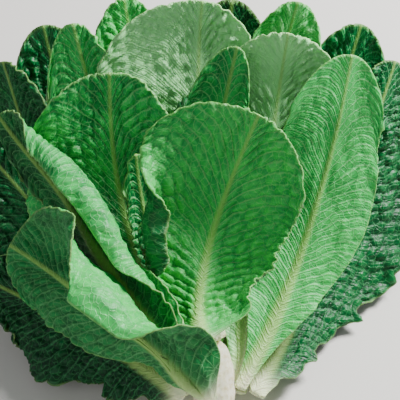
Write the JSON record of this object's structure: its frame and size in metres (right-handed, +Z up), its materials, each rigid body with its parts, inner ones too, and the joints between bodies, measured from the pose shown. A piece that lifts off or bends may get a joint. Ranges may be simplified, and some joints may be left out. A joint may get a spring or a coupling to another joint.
{
  "type": "head of romaine lettuce",
  "caption": "Open head of romaine lettuce lying back, long ribbed green leaves fanned in layers round a short stem with a cut base.",
  "frame": {"origin": "middle of the underside of the box around the head, on the surface it lies on", "axes": "+X across the leaves, +Y from the cut base towards the leaf tips, +Z up"},
  "size_m": [0.3404, 0.313, 0.2136],
  "materials": {
    "outer_leaf": "dark green waxy leaf, puckered",
    "middle_leaf": "mid green waxy leaf with pale veins",
    "inner_leaf": "light green leaf with a pale rib",
    "stem": "cream stem flesh with a flat cut face"
  },
  "bodies": {
    "root": {"back_leaf_right": "outer_leaf", "back_leaf_left": "outer_leaf", "back_leaf_centre": "outer_leaf", "side_leaf_right": "outer_leaf", "side_leaf_left": "outer_leaf", "low_leaf_left": "outer_leaf", "upper_leaf_right": "middle_leaf", "upper_leaf_centre": "middle_leaf", "upper_leaf_left": "middle_leaf", "middle_leaf_left": "outer_leaf", "front_low_leaf": "outer_leaf", "tall_leaf": "middle_leaf", "tall_leaf_right": "middle_leaf", "smooth_leaf_right": "middle_leaf", "pointed_leaf": "middle_leaf", "cupped_leaf_left": "middle_leaf", "front_leaf": "inner_leaf", "heart_leaf_back": "inner_leaf", "heart_leaf_right": "inner_leaf", "heart_leaf_left": "inner_leaf", "curled_leaf_left": "middle_leaf", "rolled_front_leaf": "middle_leaf", "stem": "stem"}
  },
  "joints": []
}
